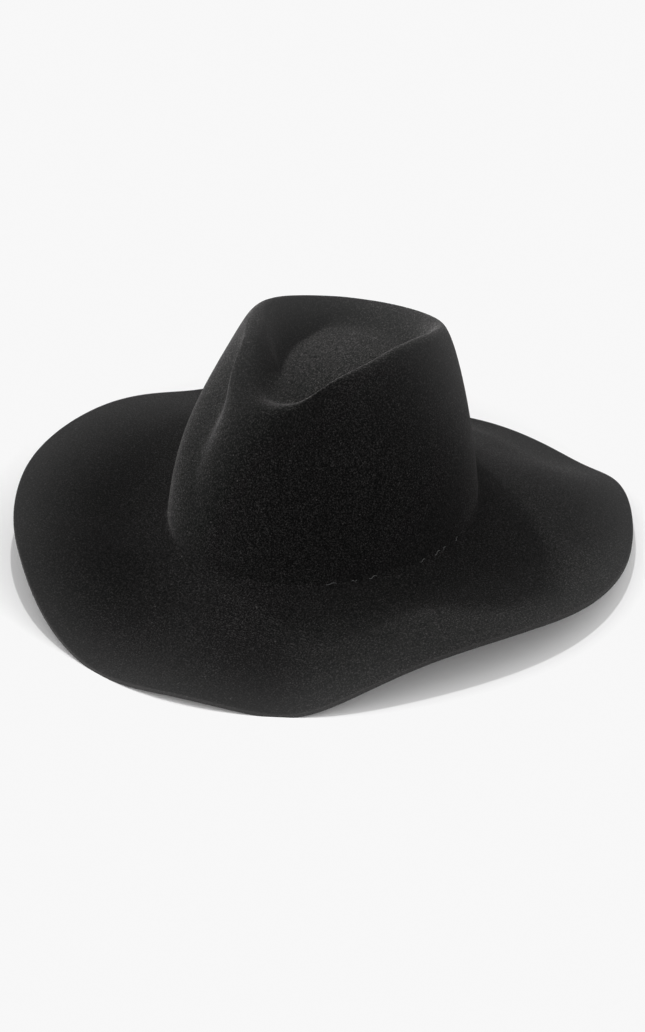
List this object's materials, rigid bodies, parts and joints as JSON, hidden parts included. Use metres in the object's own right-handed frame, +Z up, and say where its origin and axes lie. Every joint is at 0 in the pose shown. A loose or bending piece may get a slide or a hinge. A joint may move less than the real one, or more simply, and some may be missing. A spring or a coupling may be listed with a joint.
{
  "type": "cowboy hat",
  "caption": "Wide-brimmed black felt western hat with a teardrop crown, side pinches, a raw-edged wavy brim and a leather sweatband sewn inside.",
  "frame": {"origin": "centre of the hat's box in plan, on the plane the brim rests on", "axes": "+Z up out of the crown, -Y towards the wearer's front, +X towards the wearer's left"},
  "size_m": [0.361, 0.3874, 0.1577],
  "materials": {
    "felt": "brushed felt",
    "thread_grey": "twisted thread",
    "band_leather": "semi-matte",
    "reed_plastic": "smooth",
    "tape_cloth": "plain weave",
    "thread_black": "twisted thread",
    "bow_ribbon": "ribbed ribbon",
    "lining_satin": "satin",
    "piping_cord": "satin",
    "label_cloth": "woven satin, blank"
  },
  "bodies": {
    "hat": {"felt_body": "felt", "sweatband_lockstitches": "thread_grey", "sweatband": "band_leather", "sweatband_reed": "reed_plastic", "reed_tape": "tape_cloth", "tape_stitches": "thread_black", "sweatband_joint_tape": "tape_cloth", "joint_stitches": "thread_black", "bow_loops": "bow_ribbon", "bow_knot": "bow_ribbon", "lining_side_band": "lining_satin", "lining_tip": "lining_satin", "lining_piping": "piping_cord", "size_label": "label_cloth", "label_stitches": "thread_black"},
    "care_label_flap": {"care_label": "label_cloth"}
  },
  "joints": [
    {"name": "care_label_swing", "type": "hinge", "parent": "hat", "child": "care_label_flap", "pos_m": [0.03579, 0.07646, 0.0763], "axis": [-0.7714, 0.6364, 0], "range_deg": [0, 100]}
  ]
}
